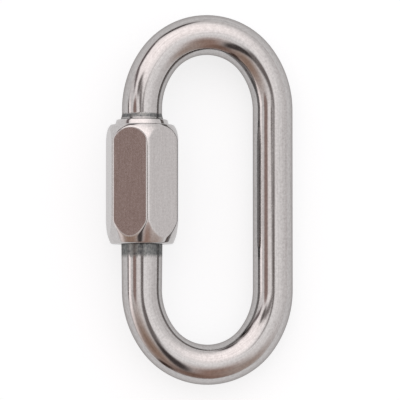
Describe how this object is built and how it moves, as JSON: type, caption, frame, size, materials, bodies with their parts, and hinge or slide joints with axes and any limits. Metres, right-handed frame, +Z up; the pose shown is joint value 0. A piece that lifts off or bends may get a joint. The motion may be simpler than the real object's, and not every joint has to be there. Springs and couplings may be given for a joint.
{
  "type": "chain quick link",
  "caption": "Oval link of bent round stainless bar with a gap in one leg, which a long hexagon sleeve nut screws across to close.",
  "frame": {"origin": "middle of the part's footprint, on the surface that it lies on", "axes": "+Z up, +Y along the link towards the bow at the nut's stop end, +X across the link from the nut's leg to the plain leg"},
  "size_m": [0.0374, 0.074, 0.0151],
  "materials": {
    "polished_bar": "polished stainless bar, with a dull unpolished band beside the nut",
    "turned_nut": "satin stainless hexagon bar with turned ends"
  },
  "bodies": {
    "link": {"link_bar": "polished_bar"},
    "nut": {"sleeve_nut": "turned_nut"}
  },
  "joints": [
    {"name": "nut_travel", "type": "slide", "parent": "link", "child": "nut", "axis": [0, -1, 0], "range_m": [0, 0.01115]}
  ]
}
